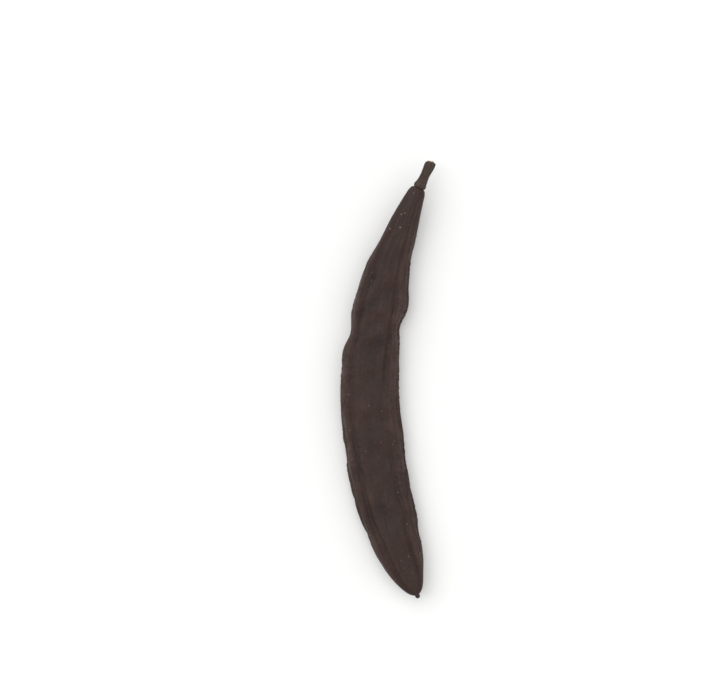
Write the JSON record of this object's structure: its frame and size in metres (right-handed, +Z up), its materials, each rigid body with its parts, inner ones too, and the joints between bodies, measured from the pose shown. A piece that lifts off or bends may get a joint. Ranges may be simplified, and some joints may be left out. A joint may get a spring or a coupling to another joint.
{
  "type": "carob pod",
  "caption": "Long, flat, gently curved dry carob pod with thickened wavy margins, seed swells and a short broken stalk, lying on its side.",
  "frame": {"origin": "on the surface the pod lies on, under the middle of its box", "axes": "+Y along the pod towards its stalk, +X towards the side its ends curve to, +Z up through its thickness"},
  "size_m": [0.0334, 0.1548, 0.0103],
  "materials": {
    "pod_skin": "satin",
    "stalk_wood": "matte"
  },
  "bodies": {
    "root": {"pod": "pod_skin", "stalk": "stalk_wood"}
  },
  "joints": []
}
